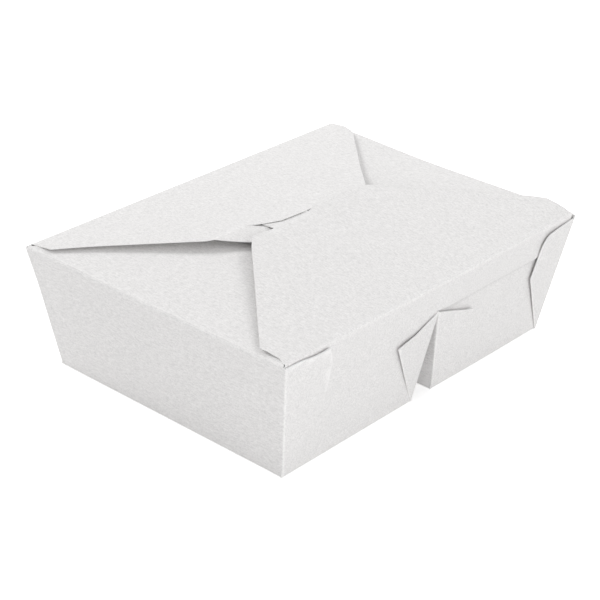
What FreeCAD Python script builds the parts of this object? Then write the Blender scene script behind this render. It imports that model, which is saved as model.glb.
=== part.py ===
import FreeCAD, Part
import math
import os

# Two-compartment takeout box, folded from one sheet of white board.
# Millimetres. +X along the two compartments, -Y the front, +Z up,
# origin on the table under the middle of the box.

# The sheet
board = 0.42              # thickness of the board
fold_radius = 0.30        # inside radius of a creased fold
fold_facets = 3           # flats that draw the rounding of a fold
layer_gap = 0.20          # air between two layers that only lie on each other

# Tray, measured outside
base_length = 196.0
base_width = 144.0
rim_length = 221.0
rim_width = 162.0
height = 64.0

# Divider: the sheet rises between the compartments as an upturned V
divider_height = 48.2     # top of the gap under the ridge
divider_gap = 15.3        # width of that gap on the table
ridge_width = 0.9         # flat on top of the ridge, before its folds are rounded

# Band over the second compartment's long walls, glued on
glue_lap = 11.0           # how far the wall runs up behind the band
band_end_margin = 2.0     # how far the band stops short of the corner

# Webs: the two-ply gussets folded out over the long walls
web_lift = 2.0            # degrees that a folded web springs off its wall
web_top_gap = 1.4         # from the rim's crease down to where a web's cut edge starts
corner_crease_top = 39.4  # height up the wall where a corner web's crease ends
corner_web_top = 61.0     # height of its cut top edge, at the free corner
corner_web_round = 3.5    # radius of that corner
left_web_reach = 31.3     # from the rim's end to the free edge, first compartment
right_web_reach = 30.0    # the same, second compartment
divider_crease_top = 39.6
left_split_reach = 28.7   # from the ridge to the tip of the first divider web
right_split_reach = 29.2  # the same, second divider web
split_kink = 3.4          # how far the cut top edge dips at its middle

# Major flaps, seen from above
front_tilt = 7.2          # degrees, rising from the rim to the middle
rear_tilt = 6.9
flap_inset = 2.0          # the flap's side stands in from the end of the rim
flap_side_run = 16.0      # straight side, before the slanted cut
flap_nose_half = 43.0     # half of the straight free edge
flap_corner_round = 2.5
front_lap = 1.9           # how far the front flap passes the middle line

# The lock: the front flap's tongue lies through a slit in the rear flap
tongue_left = 29.0        # left of the middle, where the tongue begins
tongue_right = 1.0
tongue_reach = 11.0       # its end, past the middle line
tongue_round = 4.0
tuck_crease = 12.7        # the tuck bends down this far behind the middle line
tuck_right = 33.0         # left of the middle, where the slit begins
slit_end = 18.4           # left of the middle, where the slit meets the free edge
lip_edge = 2.2            # the lip's free edge, behind the middle line
tuck_droop = 8.0          # degrees
tuck_reach = 8.0          # its end, in front of the middle line

# End flaps, folded in first and hidden under the major flaps
end_flap_length = 80.0
end_flap_rise = 3.0       # degrees that it springs up from level
end_flap_inset = 2.0      # its side starts this far in from the end of the rim
end_flap_bevel = 3.0      # short slanted cut beside the hinge
end_flap_nose_half = 28.0
end_flap_round = 8.0

# Hinge of the front flap
hinge_gap = 0.15          # between the flap's rounded root and the wall's top edge

overlap = 2.0             # how far two runs of the same panel share their length

end_lean = math.degrees(math.atan((rim_length - base_length) / 2 / height))
long_lean = math.degrees(math.atan((rim_width - base_width) / 2 / height))
half_board = board / 2


def tan(degrees):
    return math.tan(math.radians(degrees))


def cos(degrees):
    return math.cos(math.radians(degrees))


def sin(degrees):
    return math.sin(math.radians(degrees))


# Middle surface of a leaning wall: how far out it is at a height
def end_wall_x(z):
    return base_length / 2 + z * tan(end_lean) - half_board / cos(end_lean)


def long_wall_y(z, layer=0):
    return base_width / 2 + z * tan(long_lean) - (half_board + layer * board) / cos(long_lean)


def divider_x(z):
    slope = divider_gap / 2 / divider_height
    return (divider_height - z) * slope + half_board * math.hypot(1, slope)


hinge_y = long_wall_y(height)
hinge_z = height


# A closed outline through corner points, each (x, y) or (x, y, radius)
def rounded_wire(points, lift=0.0):
    edges = []
    count = len(points)
    starts, ends = [], []
    for i, point in enumerate(points):
        here = FreeCAD.Vector(point[0], point[1], lift)
        before = FreeCAD.Vector(points[i - 1][0], points[i - 1][1], lift) - here
        after = FreeCAD.Vector(points[(i + 1) % count][0], points[(i + 1) % count][1], lift) - here
        radius = point[2] if len(point) > 2 else 0.0
        half_turn = before.getAngle(after) / 2
        if radius <= 0 or half_turn > math.pi / 2 - 1e-4:
            starts.append(here)
            ends.append(here)
            continue
        reach = radius / math.tan(half_turn)
        before.normalize()
        after.normalize()
        towards = before + after
        towards.normalize()
        middle = here + towards * (radius / math.sin(half_turn) - radius)
        starts.append(here + before * reach)
        ends.append(here + after * reach)
        edges.append(Part.Arc(starts[i], middle, ends[i]).toShape())
    for i in range(count):
        if ends[i - 1].distanceToPoint(starts[i]) > 1e-6:
            edges.append(Part.LineSegment(ends[i - 1], starts[i]).toShape())
    return Part.Wire(Part.__sortEdges__(edges))


def rounded_face(points, lift=0.0):
    return Part.Face(rounded_wire(points, lift))


# Section of the folded sheet along a line of its middle surface
def sheet_section(line):
    left, right = [], []
    for i, (x, y) in enumerate(line):
        steps = []
        if i > 0:
            steps.append((x - line[i - 1][0], y - line[i - 1][1]))
        if i < len(line) - 1:
            steps.append((line[i + 1][0] - x, line[i + 1][1] - y))
        normals = [(-dy / math.hypot(dx, dy), dx / math.hypot(dx, dy)) for dx, dy in steps]
        nx = sum(n[0] for n in normals)
        ny = sum(n[1] for n in normals)
        scale = half_board / (nx * normals[0][0] + ny * normals[0][1])
        left_radius = right_radius = 0.0
        if len(steps) == 2:
            turn = steps[0][0] * steps[1][1] - steps[0][1] * steps[1][0]
            left_radius = fold_radius if turn > 0 else fold_radius + board
            right_radius = fold_radius + board if turn > 0 else fold_radius
        left.append((x + nx * scale, y + ny * scale, left_radius))
        right.append((x - nx * scale, y - ny * scale, right_radius))
    return rounded_face(faceted(left + right[::-1]))


# The same corner points with each rounding drawn as a few flats
def faceted(points):
    flats = []
    count = len(points)
    for i, (x, y, radius) in enumerate(points):
        if radius <= 0:
            flats.append((x, y))
            continue
        here = FreeCAD.Vector(x, y, 0)
        before = FreeCAD.Vector(points[i - 1][0], points[i - 1][1], 0) - here
        after = FreeCAD.Vector(points[(i + 1) % count][0], points[(i + 1) % count][1], 0) - here
        half_turn = before.getAngle(after) / 2
        before.normalize()
        after.normalize()
        reach = radius / math.tan(half_turn)
        centre = here + (before + after).normalize() * (radius / math.sin(half_turn))
        start = here + before * reach - centre
        end = here + after * reach - centre
        swing = start.getAngle(end)
        for k in range(fold_facets + 1):
            part = k / fold_facets
            spoke = start * (math.sin((1 - part) * swing) / math.sin(swing))
            spoke += end * (math.sin(part * swing) / math.sin(swing))
            flats.append((centre.x + spoke.x, centre.y + spoke.y))
    return flats


# Section drawn in X and Z, run along Y
def run_along_y(face, half_width):
    face = face.copy()
    face.rotate(FreeCAD.Vector(), FreeCAD.Vector(1, 0, 0), 90)
    face.translate(FreeCAD.Vector(0, half_width, 0))
    return face.extrude(FreeCAD.Vector(0, -2 * half_width, 0))


# Section drawn in Y and Z, run along X
def run_along_x(face, x_from, x_to):
    face = face.copy()
    face.rotate(FreeCAD.Vector(), FreeCAD.Vector(1, 1, 1), 120)
    face.translate(FreeCAD.Vector(x_from, 0, 0))
    return face.extrude(FreeCAD.Vector(x_to - x_from, 0, 0))


# A tall straight block over an outline seen from above
def over_plan(points, z_from=-height, z_to=3 * height):
    return rounded_face(points, z_from).extrude(FreeCAD.Vector(0, 0, z_to - z_from))


# A block standing on the outside of the front wall: u along X, v up the wall
def on_front_wall(points, depth_from, depth_to):
    block = rounded_face(points, depth_from).extrude(FreeCAD.Vector(0, 0, depth_to - depth_from))
    block.rotate(FreeCAD.Vector(), FreeCAD.Vector(1, 0, 0), 90 + long_lean)
    block.translate(FreeCAD.Vector(0, -base_width / 2, 0))
    return block


def mirrored_rear(shape):
    return shape.mirror(FreeCAD.Vector(), FreeCAD.Vector(0, 1, 0))


def joined(shapes):
    whole = shapes[0].fuse(shapes[1:])
    return whole.removeSplitter()


# Up the slanted long wall: height above the table to distance along the wall
def up_wall(z):
    return z / cos(long_lean)


def end_line_u(v):
    return base_length / 2 + v * cos(long_lean) * tan(end_lean)


def split_line_u(v):
    return (divider_height - v * cos(long_lean)) * divider_gap / 2 / divider_height


# End walls, bottoms and divider are one long strip of the sheet
def long_strip():
    wall_top = height - fold_radius - board
    half = [
        (end_wall_x(wall_top), wall_top),
        (end_wall_x(half_board), half_board),
        (divider_x(half_board), half_board),
        (ridge_width / 2, divider_height + half_board),
    ]
    line = [(-x, z) for x, z in half] + [(x, z) for x, z in reversed(half)]
    return run_along_y(sheet_section(line), rim_width)


# Region between the middle surfaces of the two long walls
def between_long_walls():
    top = 2 * height
    outline = [
        (-long_wall_y(0), 0.0), (long_wall_y(0), 0.0),
        (long_wall_y(top), top), (-long_wall_y(top), top),
    ]
    return run_along_x(rounded_face(outline), -rim_length, rim_length)


# One long wall with a short run of the bottom, as a section along X
def wall_section(layer, z_top):
    line = [
        (-(long_wall_y(half_board, layer) - overlap), half_board),
        (-long_wall_y(half_board, layer), half_board),
        (-long_wall_y(z_top, layer), z_top),
    ]
    return sheet_section(line)


# First compartment's wall, carried on as the band over the second one
def first_wall(z_top):
    v_top = up_wall(2 * height)
    v_band = up_wall(divider_height)
    v_low = -up_wall(height)
    outline = [
        (-end_line_u(v_low), v_low), (-end_line_u(v_top), v_top),
        (end_line_u(v_top) - band_end_margin, v_top), (end_line_u(v_band) - band_end_margin, v_band),
        (split_line_u(v_band), v_band), (-split_line_u(v_low), v_low),
    ]
    run = run_along_x(wall_section(0, z_top), -rim_length, rim_length)
    return run.common(on_front_wall(outline, -rim_width, rim_width))


# Second compartment's wall, one board further in, glued behind the band
def second_wall():
    z_top = divider_height + glue_lap
    v_top = up_wall(2 * height)
    v_low = -up_wall(height)
    v_split = up_wall(divider_height)
    outline = [
        (split_line_u(v_low), v_low), (end_line_u(v_low), v_low), (end_line_u(v_top), v_top),
        (overlap, v_top), (overlap, v_split + overlap), (split_line_u(v_split), v_split),
    ]
    run = run_along_x(wall_section(1, z_top), -rim_length, rim_length)
    return run.common(on_front_wall(outline, -rim_width, rim_width))


web_stack = 2 * board + 2 * layer_gap


# One web: two plies joined along the crease, lifted a little about its root line
def web(root_low, root_high, cut_edge, crease_top, base_depth):
    outline = [root_low, root_high] + cut_edge + [crease_top]
    inner, outer = base_depth + layer_gap, base_depth + web_stack
    crease = on_front_wall(beside_line(root_low, crease_top, root_high), inner, outer)
    whole = joined([
        on_front_wall(outline, inner, inner + board),
        on_front_wall(outline, outer - board, outer),
        crease.common(on_front_wall(outline, inner, outer)),
    ])
    low = wall_point(root_low, base_depth)
    high = wall_point(root_high, base_depth)
    leftwards = crease_top[0] < root_low[0]
    whole.rotate(low, high - low, -web_lift if leftwards else web_lift)
    return above_table(whole)


def above_table(shape):
    everything = Part.makeBox(2 * rim_length, 2 * rim_width, 2 * height,
                              FreeCAD.Vector(-rim_length, -rim_width, 0))
    return shape.common(everything)


# Narrow strip along a fold line, on the side of a third point
def beside_line(start, end, inside):
    along = FreeCAD.Vector(end[0] - start[0], end[1] - start[1], 0)
    across = FreeCAD.Vector(-along.y, along.x, 0)
    across.normalize()
    towards = FreeCAD.Vector(inside[0] - start[0], inside[1] - start[1], 0)
    if across.dot(towards) < 0:
        across = across * -1
    across = across * board
    return [
        (start[0], start[1]), (end[0], end[1]),
        (end[0] + across.x, end[1] + across.y), (start[0] + across.x, start[1] + across.y),
    ]


def wall_point(place, depth):
    u, v = place
    return FreeCAD.Vector(
        u,
        -base_width / 2 - v * sin(long_lean) - depth * cos(long_lean),
        v * cos(long_lean) - depth * sin(long_lean))


# Corner web; side is -1 for the first compartment and 1 for the second
def corner_web(side, reach):
    v_top = up_wall(height) - web_top_gap
    edge_u = rim_length / 2 - reach
    crease_lean = (90 - 2 * end_lean) / 2 - end_lean
    crease_u = max(edge_u, end_line_u(0) - corner_crease_top * tan(crease_lean))
    low = (side * (end_line_u(0) - half_board), 0.0)
    high = (side * (end_line_u(v_top) - half_board), v_top)
    cut_edge = [
        (side * edge_u, corner_web_top, corner_web_round),
        (side * edge_u, (corner_web_top + corner_crease_top) / 2),
    ]
    return web(low, high, cut_edge, (side * crease_u, corner_crease_top), 0.0)


# Divider web; the tip is where its crease meets its cut edge
def divider_web(side, reach):
    v_apex = up_wall(divider_height) - layer_gap
    low = (side * (split_line_u(0) + half_board), 0.0)
    high = (side * (split_line_u(v_apex) + half_board), v_apex)
    tip = (side * reach, divider_crease_top)
    middle = (side * reach / 2, (v_apex + divider_crease_top) / 2 - split_kink / 2)
    depth = 0.0 if side < 0 else -board
    return web(low, high, [middle], tip, depth)


# Where end walls and divider turn out to carry the webs
def web_roots(strip):
    v_top = up_wall(height) - web_top_gap
    tip = right_split_reach
    spans = [(-rim_length, 0.0, 0.0), (0.0, tip, -board), (tip, rim_length, 0.0)]
    roots = []
    for u_from, u_to, base_depth in spans:
        outline = [(u_from, board), (u_to, board), (u_to, v_top), (u_from, v_top)]
        roots.append(strip.common(on_front_wall(outline, -2 * board, base_depth + web_stack)))
    return joined(roots)


# Rear flap with its hinge fold, its lip and the tuck that bends down
def rear_flap():
    rise = tan(rear_tilt)
    low_z = height - overlap
    free_y = lap_line()
    line = [
        (long_wall_y(low_z), low_z),
        (hinge_y, hinge_z),
        (free_y - overlap, hinge_z + (hinge_y - free_y + overlap) * rise),
    ]
    run = run_along_x(sheet_section(line), -rim_length, rim_length)
    side_x = rim_length / 2 - flap_inset
    side_y = hinge_y - flap_side_run
    slant = (side_x - flap_nose_half) / (side_y - free_y)
    crease_x = side_x - (side_y - tuck_crease) * slant
    outline = [
        (side_x, rim_width), (side_x, side_y), (flap_nose_half, free_y),
        (-tongue_right, free_y), (-tongue_right, lip_edge), (-slit_end, lip_edge),
        (-tuck_right, tuck_crease), (-crease_x, tuck_crease), (-side_x, side_y), (-side_x, rim_width),
    ]
    return joined([run.common(over_plan(outline)), tuck(crease_x, slant)])


def tuck(crease_x, slant):
    rise = tan(rear_tilt)
    crease_z = hinge_z + (hinge_y - tuck_crease) * rise
    back_y = tuck_crease + overlap
    end_y = -tuck_reach
    line = [
        (back_y, hinge_z + (hinge_y - back_y) * rise),
        (tuck_crease, crease_z),
        (end_y, crease_z - (tuck_crease - end_y) * tan(tuck_droop)),
    ]
    run = run_along_x(sheet_section(line), -rim_length, 0)
    drop = tuck_crease - end_y
    slit_slant = (tuck_right - slit_end) / (tuck_crease - lip_edge)
    outline = [
        (-crease_x, tuck_crease + half_board), (-tuck_right, tuck_crease + half_board),
        (-tuck_right, tuck_crease),
        (-tuck_right + drop * slit_slant / 2, end_y), (-crease_x + drop * slant, end_y, tongue_round),
        (-crease_x, tuck_crease),
    ]
    return run.common(over_plan(outline))


# Behind the middle line, where the front flap is one board and a gap above the rear one
def lap_line():
    front, rear = tan(front_tilt), tan(rear_tilt)
    apart = (board + layer_gap) / cos(rear_tilt)
    return (apart - hinge_y * (front - rear)) / (front + rear)


# Front flap, hinged on the first wall's top edge
def front_flap():
    rise = tan(front_tilt)
    root = [(-hinge_y, hinge_z), (front_lap + overlap, hinge_z + (hinge_y + front_lap + overlap) * rise)]
    run = run_along_x(sheet_section(root), -rim_length, rim_length)
    side_x = rim_length / 2 - flap_inset
    side_y = -hinge_y + flap_side_run
    crease_y = tongue_crease()
    outline = [
        (-side_x, -rim_width), (-side_x, side_y), (-flap_nose_half, 0.0, flap_corner_round),
        (-tongue_left, 0.0), (-tongue_left, crease_y), (-tongue_right, crease_y),
        (-tongue_right, front_lap), (flap_nose_half - front_lap, front_lap, flap_corner_round),
        (side_x, side_y), (side_x, -rim_width),
    ]
    plate = run.common(over_plan(outline))
    root_bead = Part.makeCylinder(half_board, 2 * side_x, FreeCAD.Vector(-side_x, -hinge_y, hinge_z),
                                  FreeCAD.Vector(1, 0, 0))
    return joined([plate, root_bead, tongue(crease_y)])


# The tongue dips under the rear flap's lip from this line on
def tongue_crease():
    front, rear = tan(front_tilt), tan(rear_tilt)
    below = (board + layer_gap) / cos(rear_tilt)
    return (hinge_y * (rear - front) - below) / (front + rear)


def tongue(crease_y):
    front, rear = tan(front_tilt), tan(rear_tilt)
    crease_z = hinge_z + (hinge_y + crease_y) * front
    line = [
        (crease_y - overlap, crease_z - overlap * front),
        (crease_y, crease_z),
        (tongue_reach + overlap, crease_z - (tongue_reach + overlap - crease_y) * rear),
    ]
    run = run_along_x(sheet_section(line), -rim_length, rim_length)
    outline = [
        (-tongue_left, crease_y - overlap), (-tongue_right, crease_y - overlap),
        (-tongue_right, tongue_reach, tongue_round), (-tongue_left, tongue_reach, tongue_round),
    ]
    return run.common(over_plan(outline))


# End flap; side is -1 or 1
def end_flap(side):
    low_z = height - overlap
    nose_x = end_wall_x(height) - end_flap_length * cos(end_flap_rise)
    line = [
        (side * end_wall_x(low_z), low_z),
        (side * end_wall_x(height - half_board), height - half_board),
        (side * nose_x, height - half_board + end_flap_length * sin(end_flap_rise)),
    ]
    run = run_along_y(sheet_section(line), rim_width)
    root_half = hinge_y - end_flap_inset
    bevel_x = end_wall_x(height) - end_flap_bevel
    outline = [
        (side * rim_length, -root_half), (side * end_wall_x(height), -root_half),
        (side * bevel_x, -root_half + end_flap_bevel),
        (side * nose_x, -end_flap_nose_half, end_flap_round),
        (side * nose_x, end_flap_nose_half, end_flap_round),
        (side * bevel_x, root_half - end_flap_bevel),
        (side * end_wall_x(height), root_half), (side * rim_length, root_half),
    ]
    return run.common(over_plan(outline))


def folded_box():
    strip = long_strip()
    tray = strip.common(between_long_walls())
    front_top = hinge_z - (half_board + hinge_gap) * cos(long_lean)
    webs = [
        corner_web(-1, left_web_reach), corner_web(1, right_web_reach),
        divider_web(-1, left_split_reach), divider_web(1, right_split_reach),
        web_roots(strip),
    ]
    front = [first_wall(front_top), second_wall()] + webs
    rear = [mirrored_rear(part) for part in [first_wall(height - overlap / 2), second_wall()] + webs]
    return joined([tray] + front + rear + [rear_flap(), end_flap(-1), end_flap(1)])


def export(shape, name):
    solids = shape.Solids
    print(name, "solids", len(solids), "valid", shape.isValid(),
          "volume", round(sum(s.Volume for s in solids)), "faces", len(shape.Faces))
    body = solids[0] if len(solids) == 1 else shape
    body.exportStep("parts/" + name + ".step")


os.makedirs("parts", exist_ok=True)
box_shape = folded_box()
flap_shape = front_flap()
export(box_shape, "folded_box")
export(flap_shape, "front_flap")
bounds = box_shape.BoundBox
print("box", [round(value, 2) for value in (bounds.XMin, bounds.YMin, bounds.ZMin,
                                            bounds.XMax, bounds.YMax, bounds.ZMax)])
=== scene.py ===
# %% [markdown]
# A takeout box folded from one sheet of white board. On the real object every wall, web and
# flap is the same thin sheet, so each piece here is made as the maker makes it: an outline is
# cut flat, scored, and folded up. The frame comes first, because every piece sits where the
# measured model says.

# %% Load the frame
import math
import bmesh
import bpy
from mathutils import Matrix, Vector
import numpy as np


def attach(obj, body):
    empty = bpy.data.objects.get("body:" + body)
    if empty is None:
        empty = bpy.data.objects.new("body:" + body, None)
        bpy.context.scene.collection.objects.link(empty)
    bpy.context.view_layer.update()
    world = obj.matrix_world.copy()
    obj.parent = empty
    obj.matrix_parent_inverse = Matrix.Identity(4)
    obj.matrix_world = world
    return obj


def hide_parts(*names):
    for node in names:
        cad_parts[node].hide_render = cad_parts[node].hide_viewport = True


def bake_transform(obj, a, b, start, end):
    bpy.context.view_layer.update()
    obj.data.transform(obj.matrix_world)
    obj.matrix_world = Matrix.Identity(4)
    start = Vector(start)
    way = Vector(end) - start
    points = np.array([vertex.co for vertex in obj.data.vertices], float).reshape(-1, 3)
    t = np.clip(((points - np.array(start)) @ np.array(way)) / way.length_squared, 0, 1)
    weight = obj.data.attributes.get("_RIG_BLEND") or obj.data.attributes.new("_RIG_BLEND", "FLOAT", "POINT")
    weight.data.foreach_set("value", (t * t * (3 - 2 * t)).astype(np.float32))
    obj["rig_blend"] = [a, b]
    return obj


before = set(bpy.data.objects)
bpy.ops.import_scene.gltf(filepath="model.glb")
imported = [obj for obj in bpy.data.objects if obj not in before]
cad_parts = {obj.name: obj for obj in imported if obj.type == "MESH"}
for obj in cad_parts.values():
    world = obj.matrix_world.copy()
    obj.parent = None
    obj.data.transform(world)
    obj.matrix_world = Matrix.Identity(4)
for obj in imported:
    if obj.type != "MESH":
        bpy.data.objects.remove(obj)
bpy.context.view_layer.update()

# %% [markdown]
# The sizes of the box, in millimetres, as the measured model has them. Lengths along a panel
# follow from them, because a leaning wall is longer than it is high.

# %% Sizes of the box
millimetre = 0.001
board = 0.42
half_board = board / 2
layer_gap = 0.20          # air between two layers that only lie on each other
bend_radius = 0.51        # middle of the board, round a crease
flat_radius = 0.23        # middle of the board, round a fold pressed flat
ridge_radius = 0.42       # middle of the board, round each fold of the ridge
base_half = Vector((98.0, 72.0))
rim_half = Vector((110.5, 81.0))
height = 64.0             # from the table to the rim
ridge_half = 0.45         # half of the flat on top of the divider
ridge_height = 48.2       # top of the gap under the divider
foot_half = 7.65          # half of that gap's width on the table
end_lean = math.atan((rim_half.x - base_half.x) / height)
long_lean = math.atan((rim_half.y - base_half.y) / height)
front_tilt = math.radians(7.2)    # each flap rises from its rim to the middle
rear_tilt = math.radians(6.9)
print("lean of the end walls", round(math.degrees(end_lean), 2), "and long walls",
      round(math.degrees(long_lean), 2), "degrees")


# %% [markdown]
# A flat sheet starts as one face with the cut outline. It is sliced with planes, close together
# at each crease and wider apart elsewhere, so that the board can turn a round corner there and
# bow a little between. Slicing one face keeps every straight cut edge straight.

# %% Cut and slice a flat sheet
strip_step = 5.0          # most distance between two slices, on the strip and the glued walls
flap_step = 4.0           # and on the front and rear sheets


def cut_sheet(outline):
    sheet = bmesh.new()
    around = sum(a[0] * b[1] - b[0] * a[1] for a, b in zip(outline, outline[1:] + outline[:1]))
    if around < 0:
        outline = outline[::-1]
    sheet.faces.new([sheet.verts.new((x, y, 0.0)) for x, y in outline])
    return sheet


def anywhere(place):
    return True


def slice_sheet(sheet, point, along, part=anywhere):
    faces = [f for f in sheet.faces if part(f.calc_center_median())]
    edges = {e for f in faces for e in f.edges}
    corners = {v for f in faces for v in f.verts}
    bmesh.ops.bisect_plane(sheet, geom=faces + list(edges) + list(corners), dist=1e-5,
                           plane_co=(point[0], point[1], 0.0), plane_no=(along[1], -along[0], 0.0))


def slice_grid(sheet, step):
    low = Vector(min(v.co[i] for v in sheet.verts) for i in range(2))
    high = Vector(max(v.co[i] for v in sheet.verts) for i in range(2))
    for axis, along in ((0, (0.0, 1.0)), (1, (1.0, 0.0))):
        count = int((high[axis] - low[axis]) / step)
        for k in range(1, count + 1):
            place = [0.0, 0.0]
            place[axis] = low[axis] + (high[axis] - low[axis]) * k / (count + 1)
            slice_sheet(sheet, place, along)


def round_corner(sheet, place, radius):
    corner = min(sheet.verts, key=lambda v: (v.co.xy - Vector(place)).length)
    legs = [(e.other_vert(corner).co - corner.co).normalized() for e in corner.link_edges]
    reach = radius / math.tan(legs[0].angle(legs[1]) / 2)
    bmesh.ops.bevel(sheet, geom=[corner], offset=reach, offset_type="OFFSET", segments=6,
                    profile=0.5, affect="VERTICES", material=-1)


# %% [markdown]
# A crease is a line on the flat sheet, the angle that the sheet turns there, and the radius of
# the turn. Folding bends the space around the line: the sheet up to the crease stays, a narrow
# band runs round an arc, and all beyond turns with it. The outermost creases are folded first,
# so that each one still lies flat when its turn comes. Board looks paler where its fibres are
# pressed or cut, so every point of a sheet also keeps a number for that. The same number also
# carries painted light: a painted highlight where a fold's round catches the light, and
# painted shade and a painted shadow in other places. Above zero it makes the board paler, and
# below zero greyer.

# %% Score and fold a crease
flat_fold = 125           # degrees from which a fold counts as pressed flat
facet_turn = 15           # most degrees that one facet of a fold turns
fold_fade = 0.35          # width over which the pale line beside a fold, of pressed fibres and painted highlight, fades
near_slice, far_slice = 0.25, 0.9    # distances beyond a fold of the slices that keep it narrow


def smooth(value, start, end):
    # Eases from 0 at start to 1 at end, which may be the lower of the two
    t = min(1.0, max(0.0, (value - start) / (end - start)))
    return t * t * (3 - 2 * t)


class Crease:
    # The places that part accepts turn with the crease, and those that panel accepts are scored
    def __init__(self, point, along, side, degrees, radius=bend_radius, part=anywhere, panel=None):
        self.point = Vector((point[0], point[1], 0.0))
        self.along = Vector((along[0], along[1], 0.0)).normalized()
        self.out = Vector((self.along.y, -self.along.x, 0.0))
        if (Vector((side[0], side[1], 0.0)) - self.point).dot(self.out) < 0:
            self.out.negate()
        self.angle = math.radians(abs(degrees))
        self.up = Vector((0.0, 0.0, 1.0 if degrees > 0 else -1.0))
        self.radius = radius
        self.part = part
        self.panel = panel or part
        pressed_flat = abs(degrees) >= flat_fold
        self.reach = radius * (self.angle / 2 if pressed_flat else math.tan(self.angle / 2))

    def score(self, sheet):
        count = max(3, math.ceil(math.degrees(self.angle) / facet_turn))
        inner = [-self.reach + 2 * self.reach * k / count for k in range(count + 1)]
        before = [-self.reach - far_slice, -self.reach - near_slice]
        after = [self.reach + near_slice, self.reach + far_slice]
        for offset in inner + before + after:
            slice_sheet(sheet, self.point + self.out * offset, self.along, self.panel)

    def fold(self, sheet, flat):
        radius, angle, reach = self.radius, self.angle, self.reach
        for corner in sheet.verts:
            place = corner[flat]
            if not self.part(place):
                continue
            across = (place - self.point).dot(self.out)
            if across <= -reach:
                continue
            offset = corner.co - self.point
            d, h, run = offset.dot(self.out), offset.dot(self.up), offset.dot(self.along)
            turn = angle * min(1.0, (across + reach) / (2 * reach))
            beyond = d - min(across, reach)
            new_d = -reach + (radius - h) * math.sin(turn) + beyond * math.cos(turn)
            new_h = radius - (radius - h) * math.cos(turn) + beyond * math.sin(turn)
            corner.co = self.point + self.along * run + self.out * new_d + self.up * new_h

    def whiten(self, sheet, flat, wear_light, strength):
        # Pressed fibres along a crease are paler, and the pale line is also a painted highlight where the
        # fold's round catches the light
        for corner in sheet.verts:
            place = corner[flat]
            if self.part(place):
                away = abs((place - self.point).dot(self.out))
                fade = 1 - smooth(away, self.reach, self.reach + fold_fade)
                corner[wear_light] = max(corner[wear_light], strength * fade)


def remember_flat(sheet):
    # Each point keeps its place on the flat sheet, through every fold
    flat = sheet.verts.layers.float_vector.new("flat")
    for corner in sheet.verts:
        corner[flat] = corner.co
    return flat


def whiten_folds(sheet, flat, creases, strength=1.0):
    wear_light = sheet.verts.layers.float.get("wear_and_painted_light") or sheet.verts.layers.float.new("wear_and_painted_light")
    for crease in creases:
        crease.whiten(sheet, flat, wear_light, strength)


# %% [markdown]
# Two steps end every sheet. It settles: each point moves the little that the real box springs
# and spreads, the same for all sheets, so that they still meet. Then Solidify gives the board two
# faces and a rim. The rim gets a second material slot, because the cut edge of board is whiter
# and rougher than its faces.

# %% Settle a folded sheet and give it its thickness
rear_rise = 1.75          # how far the middle of the rear rim springs up
rear_rise_slope = 0.0055  # and by how much more, for each millimetre to the right
left_spread = 1.3         # how far the left wall's foot stands out
left_spread_slope = 0.006     # and by how much more, for each millimetre to the front
left_top_spread = 0.8     # how far the left wall's rear top corner stands out
right_foot_in = 1.6       # how far the right wall's foot stands in
divider_spread = 0.9      # how far the divider's right foot moves to the right
front_spread = 0.8        # how far the front wall's foot stands out, and again so much at its right
board_white = bpy.data.materials.new("white_board")
cut_edge = bpy.data.materials.new("cut_edge")


def settled(place):
    x, y, z = place
    low = max(0.0, 1 - z / height)
    low_divider = max(0.0, 1 - z / ridge_height)
    rise = (rear_rise + rear_rise_slope * x) * smooth(y, 0.0, rim_half.y) * smooth(z, 12.0, height)
    left = (left_spread - left_spread_slope * y) * low * smooth(-x, 60.0, 100.0)
    left += left_top_spread * smooth(z, 40.0, height) * smooth(y, 50.0, 80.0) * smooth(-x, 90.0, 110.0)
    left += right_foot_in * low * smooth(x, 60.0, 100.0)
    right = divider_spread * low_divider * smooth(x, 0.0, 5.0) * smooth(x, 60.0, 20.0)
    front = front_spread * (1 + smooth(x, -20.0, 60.0)) * low * smooth(-y, 20.0, 70.0)
    return Vector((x - left + right, y - front, z + rise))


def finish_sheet(name, sheet):
    for corner in sheet.verts:
        corner.co = settled(corner.co)
    bmesh.ops.scale(sheet, vec=(millimetre,) * 3, verts=sheet.verts)
    mesh = bpy.data.meshes.new(name)
    sheet.to_mesh(mesh)
    sheet.free()
    piece = bpy.data.objects.new(name, mesh)
    bpy.context.scene.collection.objects.link(piece)
    mesh.materials.append(board_white)
    mesh.materials.append(cut_edge)
    solid = piece.modifiers.new("thickness", "SOLIDIFY")
    solid.thickness = board * millimetre
    solid.offset = 0.0
    solid.use_even_offset = False
    solid.thickness_clamp = 0.0
    solid.material_offset_rim = 1
    shown = piece.evaluated_get(bpy.context.evaluated_depsgraph_get())
    solid_mesh = bpy.data.meshes.new_from_object(shown)
    piece.modifiers.clear()
    piece.data = solid_mesh
    bpy.data.meshes.remove(mesh)
    solid_mesh.name = name
    solid_mesh.shade_smooth()
    solid_mesh.set_sharp_from_angle(angle=math.radians(40))
    triangles = sum(len(p.vertices) - 2 for p in solid_mesh.polygons)
    print(name, len(solid_mesh.vertices), "points", triangles, "triangles")
    return piece


# %% [markdown]
# Places on the leaning front wall are given as u along the box, v up the wall and depth out of
# it, the way they are read off the wall itself. The web roots need them: a web grows from the
# side edge of an end wall or of the divider, and lies flat over the long wall.

# %% Places on the long walls
def on_wall(u, v, depth):
    return Vector((u, -(base_half.y + v * math.sin(long_lean) + depth * math.cos(long_lean)),
                   v * math.cos(long_lean) - depth * math.sin(long_lean)))


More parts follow.
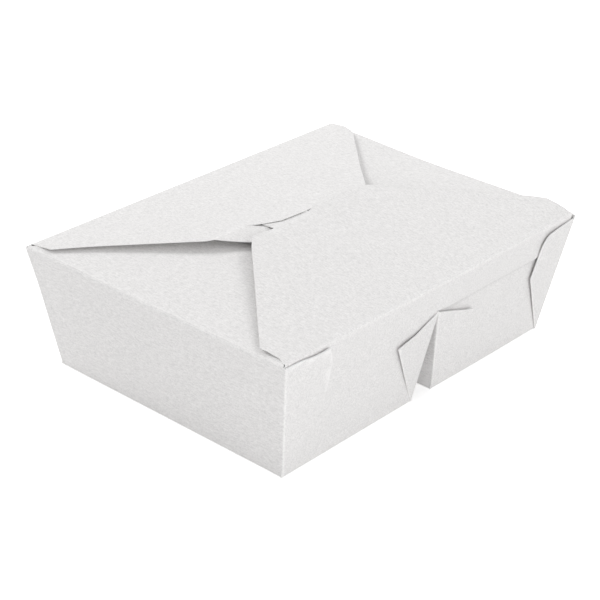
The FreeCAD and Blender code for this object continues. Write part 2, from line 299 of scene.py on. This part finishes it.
# The middle of the board at the foot of the divider and of the end wall, and, along the strip
# from its middle, each crease
foot_x = foot_half + half_board - 0.03
end_x = base_half.x - half_board / math.cos(end_lean) + half_board * math.tan(end_lean)
divider_turn = 90 - math.degrees(math.atan((foot_x - ridge_half) / ridge_height))
ridge_crease = ridge_half
foot_crease = ridge_crease + math.hypot(foot_x - ridge_half, ridge_height)
base_crease = foot_crease + end_x - foot_x
wall_rise = height - board
wall_run = wall_rise / math.cos(end_lean)
rim_crease = base_crease + wall_run
end_flap_run = 80.0
end_flap_rise = {-1: 3.0, 1: 3.8}    # degrees that each end flap springs up, by its side
strip_end = rim_crease + end_flap_run
print("creases of the long strip", [round(v, 2) for v in (ridge_crease, foot_crease, base_crease,
                                                          rim_crease, strip_end)])


# %% [markdown]
# A web is a kite: one half grows from the panel's side edge, the other half is its mirror image
# across the diagonal crease. Each cut edge below is read off the photograph in wall places, from
# the root's top to the end of the crease, and is then laid out on the flat strip.

# %% Webs laid out flat
ply_depth = 2 * layer_gap + board + half_board
root_gap = 0.25           # from the base's edge line out to the foot of a web's root
ply_short_end = 1.2       # how far the hidden ply's free edge is cut short, at its far end
ply_short_foot = 2.0      # and at its foot


class Web:
    def __init__(self, kind, cut, spring, base_depth=0.0):
        self.kind = kind
        self.depth = base_depth + ply_depth
        self.spring = spring
        lean = math.tan(long_lean)
        out = base_half.y + self.depth / math.cos(long_lean)
        if kind == "corner":
            self.low = Vector((base_crease, out + half_board * lean - self.depth + root_gap))
            self.high = Vector((rim_crease, out + (half_board + wall_rise) * lean))
            self.wall_low = Vector((end_x, half_board / math.cos(long_lean)))
            self.wall_high = self.wall_low + Vector((wall_rise * math.tan(end_lean),
                                                     wall_rise / math.cos(long_lean)))
        else:
            root_foot = out + half_board * lean - self.depth + base_depth + root_gap
            self.low = Vector((foot_crease, root_foot))
            self.high = Vector((ridge_crease, out + (half_board + ridge_height) * lean))
            self.wall_low = Vector((foot_x, half_board / math.cos(long_lean)))
            self.wall_high = Vector((ridge_half, (half_board + ridge_height) / math.cos(long_lean)))
        self.cut = [self.lay_flat(point) for point in cut]
        self.tip = self.cut[-1]

    def lay_flat(self, point):
        # A place keeps its distances along the root line and away from it
        way = 1 if self.kind == "corner" else -1
        up = (self.wall_high - self.wall_low).normalized()
        across = Vector((-up.y, up.x)) * way
        flat_up = (self.high - self.low).normalized()
        flat_out = Vector((-flat_up.y, flat_up.x)) * way
        place = Vector(point) - self.wall_low
        return self.low + flat_up * place.dot(up) + flat_out * place.dot(across)

    def beyond_crease(self, point):
        # The mirror image of a flat place across the diagonal crease
        axis = (self.tip - self.low).normalized()
        place = point - self.low
        return self.low + 2 * axis * place.dot(axis) - place

    def edge_distance(self, place):
        # How far a flat place lies from the web's own cut edge
        gaps = []
        for start, stop in zip(self.cut, self.cut[1:]):
            run = stop - start
            t = min(1.0, max(0.0, (place - start).dot(run) / run.length_squared))
            gaps.append((place - start - run * t).length)
        return min(gaps)

    def outline(self):
        hidden = [self.beyond_crease(p) for p in reversed(self.cut[:-1])]
        last = self.beyond_crease(self.high)
        down = (self.low - last).normalized()
        return self.cut + hidden + [last + down * ply_short_end, self.low - down * ply_short_foot]

    def turn(self):
        # Angle at the root, from the panel's own plane round to the plane of the long wall
        low = on_wall(self.wall_low.x, self.wall_low.y, self.depth)
        high = on_wall(self.wall_high.x, self.wall_high.y, self.depth)
        line = (high - low).normalized()
        inside = Vector((low.x, 0.0, low.z))
        middle = low + Vector((-20.0 if self.kind == "corner" else 20.0, 0.0, 0.0))
        back = inside - low
        back -= line * back.dot(line)
        over = middle - low
        over -= line * over.dot(line)
        return math.degrees((-back).angle(over)) - self.spring


corner_cut = [(109.7, 64.0), (100.5, 63.9), (92.0, 62.9), (86.5, 62.8), (82.4, 63.4), (80.3, 59.2),
              (79.2, 55.2), (79.2, 44.0), (79.6, 39.4)]
far_corner_cut = [(109.4, 62.4), (102.0, 61.8), (93.7, 61.2), (88.4, 60.6), (85.5, 59.2),
                  (83.1, 56.4), (81.8, 52.8), (80.6, 48.0), (78.2, 37.4)]
split_cut = [(0.75, 48.3), (9.0, 45.4), (16.0, 42.8), (22.0, 42.0), (30.0, 40.8)]
far_split_cut = [(0.75, 48.3), (5.0, 47.2), (13.6, 44.6), (21.8, 41.8), (28.4, 40.4)]
# By side of the box and end of the strip. The spring is in degrees, and the second
# compartment's divider webs lie one board further in, on its own wall
webs = {
    (-1, 1): [Web("corner", corner_cut, 1.8), Web("divider", split_cut, 3.6)],
    (1, 1): [Web("corner", far_corner_cut, 2.6), Web("divider", far_split_cut, 3.2, -board)],
}
for (side, end) in list(webs):
    webs[(side, -end)] = webs[(side, end)]
print("web roots turn", [[round(web.turn(), 1) for web in pair] for pair in webs.values()], "degrees")


# %% [markdown]
# The long strip runs from one end flap down the end wall, along the bottom, up and over the
# divider, and the same way out again. All eight webs are part of it. Its outline is listed for
# one quarter, from the ridge to the nose of the end flap, and laid round the four quarters.

# %% Long strip, cut flat
flap_root_half = 80.2     # half of an end flap's width at the rim
base_edge = 70.6          # half of the bottoms' width, short of the long walls' fold
nose_half = 27.6          # half of an end flap's free edge, before its corners are rounded
nose_radius = 8.0
crease_gap = 0.45         # from a crease to the cut-away side of the bottom


def strip_quarter(side, end):
    corner, divider = webs[(side, end)]
    ridge_end = base_half.y + (ridge_height + board) * math.tan(long_lean) - 0.4
    points = [(0.0, ridge_end), (ridge_crease + 0.25, ridge_end), (ridge_crease + 0.25, divider.high.y)]
    points += [tuple(p) for p in divider.outline()]
    points += [(foot_crease + crease_gap, divider.low.y - 0.2), (foot_crease + crease_gap, base_edge),
               (base_crease - crease_gap, base_edge), (base_crease - crease_gap, corner.low.y - 0.2)]
    points += [tuple(p) for p in reversed(corner.outline())]
    points += [(rim_crease - 0.9, corner.high.y - 0.15), (rim_crease - 0.5, flap_root_half),
               (rim_crease + 0.6, flap_root_half), (rim_crease + 2.2, flap_root_half - 1.6),
               (rim_crease + 4.5, flap_root_half - 3.9), (strip_end, nose_half)]
    return [(side * x, end * y) for x, y in points]


outline = []
for side, end, backwards in ((1, 1, False), (1, -1, True), (-1, -1, False), (-1, 1, True)):
    quarter = strip_quarter(side, end)
    outline += quarter[::-1] if backwards else quarter
outline = [p for i, p in enumerate(outline) if (Vector(p) - Vector(outline[i - 1])).length > 0.01]
strip = cut_sheet(outline)
for side in (-1, 1):
    for end in (-1, 1):
        round_corner(strip, (side * strip_end, end * nose_half), nose_radius)
print("long strip", len(outline), "outline points, area", round(sum(f.calc_area() for f in strip.faces)),
      "mm2")


# %% [markdown]
# Each web turns at two creases, its diagonal and its root, and each half of the strip at four
# more: the ridge, the divider's foot, the end wall's foot and the rim. The points along the webs'
# cut edges get a painted highlight here, and those of the divider's walls painted shade and light.

# %% Long strip, scored and folded
edge_highlight_width = 0.5           # width of the painted highlight along a web's cut edge
edge_reach = 9.0          # how far from a cut edge its slice goes on
# Painted highlight: the face beside each web's cut edge is painted paler, where the lit cut edge shows
edge_painted_highlight = 2.2
web_fold_pale = 0.8
ridge_painted_shade = -1.8         # painted shade: the divider's walls run from this under the ridge
foot_painted_light = 2.4           # to this painted light at the foot, by the white table


def between(low, high, side):
    return lambda p: low < side * p.x < high


def beyond_line(low, high, web_side, end, slack):
    # True where a flat place is on the web's side of its root line
    line = (high - low).normalized()
    out = Vector((-line.y, line.x))
    if out.y < 0:
        out.negate()
    return lambda p: (Vector((web_side * p.x, end * p.y)) - low).dot(out) > -slack


web_creases, panel_creases = [], []
for side in (-1, 1):
    for end in (-1, 1):
        for web in webs[(side, end)]:
            start, stop = (base_crease - 0.5, rim_crease + 3.0) if web.kind == "corner" \
                else (-0.5, foot_crease + 0.5)
            inside = between(start, stop, side)
            outer = beyond_line(web.low, web.high, side, end, 1.5)
            low = Vector((side * web.low.x, end * web.low.y))
            high = Vector((side * web.high.x, end * web.high.y))
            tip = Vector((side * web.tip.x, end * web.tip.y))
            last = web.beyond_crease(web.high)
            last = Vector((side * last.x, end * last.y))
            part = lambda p, a=inside, b=outer: a(p) and b(p)
            web_creases.append(Crease(low, tip - low, last, 180, flat_radius, part))
            web_creases.append(Crease(low, high - low, tip, web.turn(), bend_radius, part, inside))
    rim_part = lambda p, s=side: s * p.x > rim_crease - 3 and abs(p.y) < flap_root_half + 0.3
    panel_creases.append(Crease((side * rim_crease, 0), (0, 1), (side * strip_end, 0),
                                math.degrees(math.pi / 2 + end_lean) - end_flap_rise[side],
                                part=rim_part, panel=anywhere))
    panel_creases.append(Crease((side * base_crease, 0), (0, 1), (side * strip_end, 0),
                                90 - math.degrees(end_lean),
                                part=lambda p, s=side: s * p.x > base_crease - 3, panel=anywhere))
    panel_creases.append(Crease((side * foot_crease, 0), (0, 1), (side * strip_end, 0), divider_turn,
                                part=lambda p, s=side: s * p.x > foot_crease - 1.0 and
                                (abs(p.y) < base_half.y + 1.6 or s * p.x > foot_crease + 1.0),
                                panel=anywhere))
    panel_creases.append(Crease((side * ridge_crease, 0), (0, 1), (side * strip_end, 0), -divider_turn,
                                radius=ridge_radius, part=lambda p, s=side: s * p.x > 0.0,
                                panel=anywhere))

# The roots are scored before the diagonals, which end at them
for crease in panel_creases + web_creases[1::2] + web_creases[0::2]:
    crease.score(strip)
for (side, end), pair in webs.items():
    for web in pair:
        for start, stop in zip(web.cut, web.cut[1:]):
            run = (stop - start).normalized()
            inward = Vector((run.y, -run.x))
            if inward.dot(web.low - start) < 0:
                inward.negate()
            inner = start + inward * edge_highlight_width
            near = lambda p, w=web, s=side, e=end: w.edge_distance(Vector((s * p.x, e * p.y))) < edge_reach
            slice_sheet(strip, (side * inner.x, end * inner.y), (side * run.x, end * run.y), near)
slice_grid(strip, strip_step)
flat = remember_flat(strip)
for crease in web_creases + panel_creases:
    crease.fold(strip, flat)
whiten_folds(strip, flat, panel_creases)
whiten_folds(strip, flat, web_creases, web_fold_pale)
wear_light = strip.verts.layers.float["wear_and_painted_light"]
# Painted highlight along each web's cut edge, where the lit cut edge shows bright
for (side, end), pair in webs.items():
    for corner in strip.verts:
        place = Vector((side * corner[flat].x, end * corner[flat].y))
        if place.x < 0 or place.y < base_half.y:
            continue
        gap = min(web.edge_distance(place) for web in pair)
        corner[wear_light] = max(corner[wear_light], edge_painted_highlight * smooth(gap, edge_highlight_width, 0.05))
for corner in strip.verts:
    # Painted shade and light: the divider's walls are painted greyest under the ridge, where shade falls,
    # and paler at the foot, where the white table lights them
    across = abs(corner[flat].x)
    wall_edge = base_half.y + (foot_crease - across) * math.tan(long_lean) - 0.5
    if corner[wear_light] < 0.05 and across < foot_crease and abs(corner[flat].y) < wall_edge:
        by_foot = smooth(across, 0.25 * foot_crease, foot_crease)
        corner[wear_light] = ridge_painted_shade + (foot_painted_light - ridge_painted_shade) * by_foot
print("long strip", len(strip.faces), "faces after scoring")

# %% Long strip, set on the table and sprung
flap_arch = 0.9           # how far the middle of an end flap bows up
end_wall_bow = 0.7        # and the middle of an end wall outwards
flap_side = 80            # half of the width over which an end flap bows
wall_side = 82            # and an end wall


def sprung(place):
    # The move that the bow gives to a flat place
    along = abs(place.x)
    if along > rim_crease:
        out = min(1.0, (along - rim_crease) / end_flap_run)
        return Vector((0.0, 0.0, flap_arch * math.sin(math.pi * out) * (1 - (place.y / flap_side) ** 2)))
    if along > base_crease and abs(place.y) < 70 + (along - base_crease) * 0.1:
        up = (along - base_crease) / wall_run
        bow = end_wall_bow * math.sin(math.pi * up) * (1 - (place.y / wall_side) ** 2)
        return Vector((math.copysign(bow, place.x), 0.0, 0.0))
    return Vector()


for corner in strip.verts:
    # The folds start at the ridge, so the strip is lifted until its bottoms lie on the table
    corner.co.z = max(corner.co.z + ridge_height + half_board, half_board)
    corner.co += sprung(corner[flat])
long_strip = finish_sheet("long_strip", strip)
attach(long_strip, "box")
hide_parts("folded_box")

# %% [markdown]
# The front wall, the band over the second compartment and the front flap are one sheet, so the
# crease at the rim shows no gap. The wall belongs to the box and the flap turns with its hinge,
# so the sheet is blended across the crease.

# %% Front sheet, cut flat
# Middle of the board at the long wall's foot and at its rim, and the run up the wall to the rim
# and to the band's lower edge
wall_foot_y = base_half.y + half_board * math.tan(long_lean) - half_board / math.cos(long_lean)
hinge_y = base_half.y + height * math.tan(long_lean) - half_board / math.cos(long_lean)
long_run = (height - half_board) / math.cos(long_lean)
band_low = (ridge_height + half_board) / math.cos(long_lean)


def corner_u(v):
    # The end of a long wall, just short of the end wall, at a run up it
    return end_x - 0.3 + v * math.cos(long_lean) * math.tan(end_lean)


def split_u(v):
    # The side of the notch
    return (ridge_height - v * math.cos(long_lean)) * (foot_half + 0.2) / ridge_height + 0.25


def wall_outline(flap_points):
    # A long wall with its band, the notch between them and the flap, cut as one sheet
    wall = [(-corner_u(0) + 0.3, -1.2), (-split_u(0) - 0.2, -1.2), (-split_u(0), 0.3),
            (-split_u(band_low - 0.6) - 0.1, band_low - 0.6), (-0.2, band_low),
            (corner_u(band_low) - 1.7, band_low), (corner_u(long_run) - 1.7, long_run - 1.0)]
    return wall + flap_points + [(-corner_u(long_run), long_run - 0.9), (-corner_u(0), 0.3)]


def front_flap_point(x, y):
    # A place of the flap seen from above, laid out flat
    return (x, long_run + (y + hinge_y) / math.cos(front_tilt))


front_flap_edge = [
    (109.6, -80.6), (108.6, -79.6), (108.9, -71.0), (109.0, -64.6), (103.6, -58.0), (66.7, -21.4),
    (42.6, 1.4), (26.0, 1.7), (-0.6, 1.5), (-1.4, 9.0), (-3.4, 11.0), (-23.0, 11.0), (-25.8, 8.6),
    (-26.3, 0.4), (-42.2, 0.2), (-49.5, -6.2), (-57.4, -14.3), (-98.4, -55.4), (-107.9, -65.0),
    (-107.3, -68.5), (-107.1, -75.2), (-108.8, -79.8), (-109.3, -80.6),
]
front_sheet = cut_sheet(wall_outline([front_flap_point(x, y) for x, y in front_flap_edge]))
for place, radius in (((42.6, 1.4), 2.6), ((-42.2, 0.2), 2.2)):
    round_corner(front_sheet, front_flap_point(*place), radius)
front_creases = [
    Crease((0, long_run), (1, 0), (0, 200), 90 + math.degrees(long_lean - front_tilt),
           part=lambda p: p.y > long_run - 6),
    Crease((0, 0), (1, 0), (0, 200), 90 - math.degrees(long_lean)),
]
for crease in front_creases:
    crease.score(front_sheet)
slice_grid(front_sheet, flap_step)
flat = remember_flat(front_sheet)
print("front sheet", len(front_sheet.faces), "faces")


# %% Front sheet, folded
corner_lift = 1.3         # how far the flap's right corner springs up
wall_wave = 0.25          # how far the wall waves in and out
wave_run = 29             # run along the wall for each radian of that wave
band_lip = 0.9            # how far the band's lower edge stands off the wall behind
dip_start = 6.5           # how far in front of the middle the flap starts to dip to its tongue
dip_slope = 0.247         # how steeply it dips in the end
dip_ease = 4.5            # after this run it is half as deep as at that slope
blend_past = 0.05         # from the hinge line to the middle of the blend, towards the flap


def stand_up(sheet, foot_y, side):
    # Flat x runs along the box and flat y outwards from the wall's foot, to the front or rear
    for corner in sheet.verts:
        x, y, z = corner.co
        corner.co = Vector((x, side * (foot_y + y), half_board + z))
    if side < 0:
        bmesh.ops.reverse_faces(sheet, faces=sheet.faces)


def tongue_dip(x, y):
    # How far the flap's surface is pressed down where its tongue dives under the other flap
    past = max(0.0, y + dip_start)
    dip = dip_slope * past * past / (past + dip_ease)
    return dip * smooth(x, 4.0, -3.5) * smooth(x, -44.0, -27.0)


for crease in front_creases:
    crease.fold(front_sheet, flat)
whiten_folds(front_sheet, flat, front_creases)
stand_up(front_sheet, wall_foot_y, -1)
for corner in front_sheet.verts:
    place = corner[flat]
    if place.y > long_run + 1:
        corner.co.z -= tongue_dip(corner.co.x, corner.co.y)
        past_rim = smooth(place.y - long_run, 0.0, 8.0)
        corner.co.z += corner_lift * smooth(place.x, 70.0, 107.0) * past_rim
    elif place.y > 1:
        up = place.y / long_run
        corner.co.y += wall_wave * math.sin(math.pi * up) * math.sin(place.x / wave_run)
        lip = smooth(place.x, 0.5, 8.0) * smooth(place.x, 96.0, 82.0)
        corner.co.y -= band_lip * lip * smooth(place.y, band_low + 8.0, band_low)
print("front sheet folded, z from", round(min(c.co.z for c in front_sheet.verts), 2), "to",
      round(max(c.co.z for c in front_sheet.verts), 2))
front_piece = finish_sheet("front_wall_and_flap", front_sheet)
wall_up = Vector((0.0, -math.sin(long_lean), math.cos(long_lean)))
flap_in = Vector((0.0, math.cos(front_tilt), math.sin(front_tilt)))
round_way = (wall_up + flap_in).normalized()
crease_middle = Vector((0.0, -hinge_y, height)) + round_way * blend_past
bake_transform(front_piece, "box", "front_flap", start=(crease_middle - round_way * 0.02) * 0.001,
         end=(crease_middle + round_way * 0.02) * 0.001)
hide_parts("front_flap")

# %% [markdown]
# The rear sheet is the same wall and band, carried over the rim as the rear flap. Its lip holds
# the front flap's tongue down, and beside the lip a slit lets the tuck bend down out of the way.

# %% Rear sheet, cut flat and folded
def rear_flap_point(x, y):
    return (x, long_run + (hinge_y - y) / math.cos(rear_tilt))


# The slit, from the tuck's crease past the lip's corner to the tuck's own corner
slit = [(-33.1, 13.3), (-31.0, 12.2), (-26.1, 8.1), (-17.6, 3.5), (-16.8, -7.5)]
tuck_line = slit[0][1]
tuck_drop = 15            # degrees that the tuck bends down
tuck_radius = 1.2
tuck_twist = 0.098        # slope by which the tongue lifts the tuck's side at the slit
lip_lift = 0.4            # how far the tongue presses the lip up


def slit_x(y):
    for (x0, y0), (x1, y1) in zip(slit, slit[1:]):
        if y >= y1:
            return x0 + (x1 - x0) * min(1.0, max(0.0, (y0 - y) / (y0 - y1)))
    return slit[-1][0]


def in_tuck(place):
    y = hinge_y - (place.y - long_run) * math.cos(rear_tilt)
    return y < tuck_line + 1.0 and place.x < slit_x(y) - 0.05


rear_flap_edge = [
    (110.4, 81.3), (110.2, 70.5), (106.6, 62.8), (103.2, 58.6), (67.0, 24.3), (41.6, -0.8),
    (-0.5, 2.4)] + slit[3:0:-1] + [(x - 0.1, y) for x, y in slit] + [
    (-33.0, -7.5), (-54.0, tuck_line), (-57.2, 15.0), (-94.4, 55.4), (-107.0, 67.9), (-107.3, 81.3),
]
rear_sheet = cut_sheet(wall_outline([rear_flap_point(x, y) for x, y in rear_flap_edge]))
for place, radius in (((-16.9, -7.5), 3.0), ((-33.0, -7.5), 3.0)):
    round_corner(rear_sheet, rear_flap_point(*place), radius)
tuck_crease = Crease(rear_flap_point(0, tuck_line), (1, 0), rear_flap_point(0, -20), tuck_drop,
                     tuck_radius, in_tuck)
rear_creases = [
    tuck_crease,
    Crease((0, long_run), (1, 0), (0, 200), 90 + math.degrees(long_lean - rear_tilt),
           part=lambda p: p.y > long_run - 6),
    Crease((0, 0), (1, 0), (0, 200), 90 - math.degrees(long_lean)),
]
for crease in rear_creases[1:]:
    crease.score(rear_sheet)
slice_sheet(rear_sheet, rear_flap_point(0, tuck_line), (1, 0))
tuck_crease.score(rear_sheet)
slice_grid(rear_sheet, flap_step)
flat = remember_flat(rear_sheet)
for crease in rear_creases:
    crease.fold(rear_sheet, flat)
stand_up(rear_sheet, wall_foot_y, 1)
whiten_folds(rear_sheet, flat, rear_creases)
for corner in rear_sheet.verts:
    place = corner[flat]
    beyond = place.y - rear_flap_point(0, tuck_line)[1]
    if beyond > 0 and in_tuck(place):
        corner.co.z += tuck_twist * beyond * smooth(place.x, -52.0, -27.0)
    elif beyond > 0:
        over_tongue = smooth(place.x, -36.0, -26.0) * smooth(place.x, 8.0, -4.0)
        corner.co.z += lip_lift * smooth(beyond, 0.0, 9.0) * over_tongue
rear_piece = finish_sheet("rear_wall_and_flap", rear_sheet)
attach(rear_piece, "box")

# %% [markdown]
# Behind each band stands the second compartment's own wall, one board further in. It is glued
# to the band over a strip, and shows from outside below the band's lower edge.

# %% Glued walls of the second compartment
glue_lap = 11.0           # how far the wall runs up behind the band
# Painted shadow: a grey line on the wall under the band's lower edge
band_painted_shadow = 2.1
web_painted_shade = 0.2         # how much more painted shade the line gets beside the ridge, under the standing web


def paint_band_shadow(sheet, flat):
    # A painted shadow: a fine grey line follows the band's lower edge, and widens to painted shade beside
    # the ridge
    wear_light = sheet.verts.layers.float["wear_and_painted_light"]
    for corner in sheet.verts:
        by_ridge = smooth(corner[flat].x, 32.0, 8.0)
        below = band_low - corner[flat].y
        corner[wear_light] -= (band_painted_shadow + web_painted_shade * by_ridge) * smooth(below, 3.0 + 2.7 * by_ridge, 0.8)


def glued_wall(name, side):
    foot = wall_foot_y - board / math.cos(long_lean) - 0.02
    top = (ridge_height + glue_lap) / math.cos(long_lean)
    inner_run = foot - base_edge - 0.02
    outline = [(split_u(0) + 0.2, -inner_run), (corner_u(0) - 0.3, -inner_run),
               (corner_u(0), 0.3), (corner_u(top), top), (2.0, top), (2.0, band_low + 1.5),
               (split_u(band_low - 0.6) + 0.1, band_low - 0.6), (split_u(0), 0.3)]
    sheet = cut_sheet(outline)
    foot_fold = Crease((0, 0), (1, 0), (0, 200), 90 - math.degrees(long_lean))
    foot_fold.score(sheet)
    for drop in (0.3, 0.9, 1.5, 2.2, 3.5, 5.0):
        slice_sheet(sheet, (0, band_low - drop), (1, 0))
    slice_grid(sheet, strip_step)
    flat = remember_flat(sheet)
    foot_fold.fold(sheet, flat)
    whiten_folds(sheet, flat, [foot_fold])
    paint_band_shadow(sheet, flat)
    stand_up(sheet, foot, side)
    piece = finish_sheet(name, sheet)
    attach(piece, "box")


glued_wall("glued_wall_front", -1)
glued_wall("glued_wall_rear", 1)

# %% [markdown]
# Shader maths reads best as plain sums, so a small class wraps a socket and builds Math nodes
# from Python operators. One method adds any other node.

# %% Shader maths
class Shade:
    def __init__(self, tree, socket):
        self.tree, self.socket = tree, socket

    def _math(self, operation, left, right=None, clamp=False):
        node = self.tree.nodes.new("ShaderNodeMath")
        node.operation = operation
        node.use_clamp = clamp
        for slot, value in zip(node.inputs, (left, right)):
            if isinstance(value, Shade):
                self.tree.links.new(value.socket, slot)
            elif value is not None:
                slot.default_value = value
        return Shade(self.tree, node.outputs[0])

    def __add__(self, other):
        return self._math("ADD", self, other)

    def __sub__(self, other):
        return self._math("SUBTRACT", self, other)

    def __rsub__(self, other):
        return self._math("SUBTRACT", other, self)

    def __mul__(self, other):
        return self._math("MULTIPLY", self, other)

    def clamped(self):
        return self._math("ADD", self, 0.0, clamp=True)


class Finish:
    def __init__(self, material):
        material.use_nodes = True
        self.tree = material.node_tree
        self.tree.nodes.clear()

    def node(self, kind, settings=None, **sockets):
        node = self.tree.nodes.new("ShaderNode" + kind)
        for key, value in (settings or {}).items():
            setattr(node, key, value)
        for name, value in sockets.items():
            slot = node.inputs[name.replace("_", " ")]
            if isinstance(value, Shade):
                self.tree.links.new(value.socket, slot)
            else:
                slot.default_value = value
        return {out.name: Shade(self.tree, out) for out in node.outputs}

    def mixed(self, factor, dark, light):
        # A Mix node names its colour sockets alike for every kind of data, so they go by number
        node = self.tree.nodes.new("ShaderNodeMix")
        node.data_type = "RGBA"
        self.tree.links.new(factor.socket, node.inputs["Factor"])
        node.inputs[6].default_value = dark
        node.inputs[7].default_value = light
        return Shade(self.tree, node.outputs[2])


# %% [markdown]
# Uncoated board is near white, a touch warm, and never quite even: pulp lies in soft clouds
# under a fine grain, and single fibres run mostly from front to rear, the way the sheet came off
# the mill.

# %% White board
tone_range = 0.14         # how far the board's darkest and palest tones lie from its colour
palest = 0.97
relief_depth = 0.12 * millimetre
wear_and_light_weight = 0.22        # how much of the range from dark to light one unit of the point number for wear and painted light is


def board_finish(material, colour, cloud, fibre, rough, bump):
    finish = Finish(material)
    place = finish.node("TexCoord")["Object"]
    wear_light = finish.node("Attribute", {"attribute_name": "wear_and_painted_light"})["Fac"]
    stretched = finish.node("Mapping", Vector=place, Scale=(1800.0, 400.0, 1800.0))["Vector"]
    clouds = finish.node("TexNoise", Vector=place, Scale=420.0, Detail=3.0, Roughness=0.6)["Fac"]
    fibres = finish.node("TexNoise", Vector=stretched, Scale=1.0, Detail=2.0, Roughness=0.5)["Fac"]
    grain = finish.node("TexNoise", Vector=place, Scale=1500.0, Detail=2.0, Roughness=0.6)["Fac"]
    mottle = (clouds - 0.5) * cloud + (fibres - 0.5) * fibre + (grain - 0.5) * fibre
    # The point number adds paler pressed and cut fibres, painted highlights, painted shade and a painted
    # shadow
    level = (mottle + 0.5 + wear_light * wear_and_light_weight).clamped()
    dark = tuple(c * (1 - tone_range) for c in colour) + (1.0,)
    light = tuple(min(palest, c * (1 + tone_range)) for c in colour) + (1.0,)
    tone = finish.mixed(level, dark, light)
    relief = finish.node("Bump", Strength=bump, Distance=relief_depth,
                         Height=clouds * 0.5 + grain * 0.5)["Normal"]
    shader = finish.node("BsdfPrincipled", Roughness=rough, Normal=relief, Base_Color=tone,
                         Specular_IOR_Level=0.25)
    finish.node("OutputMaterial", Surface=shader["BSDF"])
    print(material.name, "has", len(finish.tree.nodes), "nodes")


board_finish(board_white, (0.83, 0.82, 0.815), cloud=0.35, fibre=1.5, rough=0.78, bump=0.3)
board_finish(cut_edge, (0.96, 0.955, 0.95), cloud=0.2, fibre=0.3, rough=0.9, bump=0.3)

# %% [markdown]
# The floor is plain and pale. The camera sees it, and the air behind, as white, but it still
# keeps the box's own shadow. Three soft lamps and the pale sky light the box.

# %% Floor and light
sky_light = 0.58          # strength of the sky for everything but the camera's own view
floor_glow = 0.5          # what the floor adds to its own white in that view
box_middle = Vector((0.0, 0.0, 0.03))

floor_mesh = bpy.data.meshes.new("floor")
floor_shape = bmesh.new()
bmesh.ops.create_grid(floor_shape, x_segments=1, y_segments=1, size=4.0)
floor_shape.to_mesh(floor_mesh)
floor_shape.free()
floor = bpy.data.objects.new("floor", floor_mesh)
bpy.context.scene.collection.objects.link(floor)
floor_paint = bpy.data.materials.new("pale_floor")
floor_mesh.materials.append(floor_paint)
finish = Finish(floor_paint)
rays = finish.node("LightPath")
seen = rays["Is Camera Ray"]
plain = finish.node("BsdfDiffuse", Color=(0.95, 0.95, 0.95, 1.0))["BSDF"]
glow = finish.node("Emission", Color=(1.0, 1.0, 1.0, 1.0), Strength=seen * floor_glow)["Emission"]
both = finish.node("AddShader")
for part, slot in zip((plain, glow), finish.tree.nodes[-1].inputs):
    # Both inputs have one name, so they are joined in their order
    finish.tree.links.new(part.socket, slot)
finish.node("OutputMaterial", Surface=both["Shader"])

world = bpy.data.worlds.new("studio")
bpy.context.scene.world = world
finish = Finish(world)
rays = finish.node("LightPath")
seen = (rays["Is Camera Ray"] + rays["Is Glossy Ray"] + rays["Is Transmission Ray"]).clamped()
strength = seen + (1.0 - seen) * sky_light
sky = finish.node("Background", Color=(1.0, 1.0, 1.0, 1.0), Strength=strength)["Background"]
finish.node("OutputWorld", Surface=sky)


def soft_light(name, place, size, power):
    lamp = bpy.data.lights.new(name, "AREA")
    lamp.shape = "DISK"
    lamp.size = size
    lamp.energy = power
    holder = bpy.data.objects.new(name, lamp)
    bpy.context.scene.collection.objects.link(holder)
    holder.location = place
    way = box_middle - Vector(place)
    holder.rotation_euler = way.to_track_quat("-Z", "Y").to_euler()


soft_light("key_light", (1.95, 0.15, 1.35), size=0.9, power=12.5)
soft_light("back_light", (0.1, 2.2, 1.5), size=0.9, power=26.6)
soft_light("front_light", (-1.4, -2.3, 0.7), size=1.5, power=23.7)

# %% [markdown]
# The camera stands where a fit of the box's eight corners puts it, at the photograph's angle.

# %% Camera
camera_data = bpy.data.cameras.new("camera")
camera = bpy.data.objects.new("camera", camera_data)
bpy.context.scene.collection.objects.link(camera)
bpy.context.scene.camera = camera
camera_data.sensor_width = 36.0
camera_data.sensor_fit = "HORIZONTAL"
camera_data.lens = 102.16
camera_data.clip_start = 0.01
place = Vector((-0.57867, -0.48368, 0.41548))
right = Vector((0.65809538, -0.75217185, 0.03388183))
up = Vector((0.32630054, 0.32546542, 0.88746843))
back = Vector((-0.67855613, -0.57298322, 0.45962137))
camera.matrix_world = Matrix([(right[i], up[i], back[i], place[i]) for i in range(3)]
                             + [(0.0, 0.0, 0.0, 1.0)])
bpy.context.scene.view_settings.view_transform = "Standard"
print("camera at", [round(v, 3) for v in place], "lens", camera_data.lens)

# %% Bring the scene up to date
bpy.context.view_layer.update()
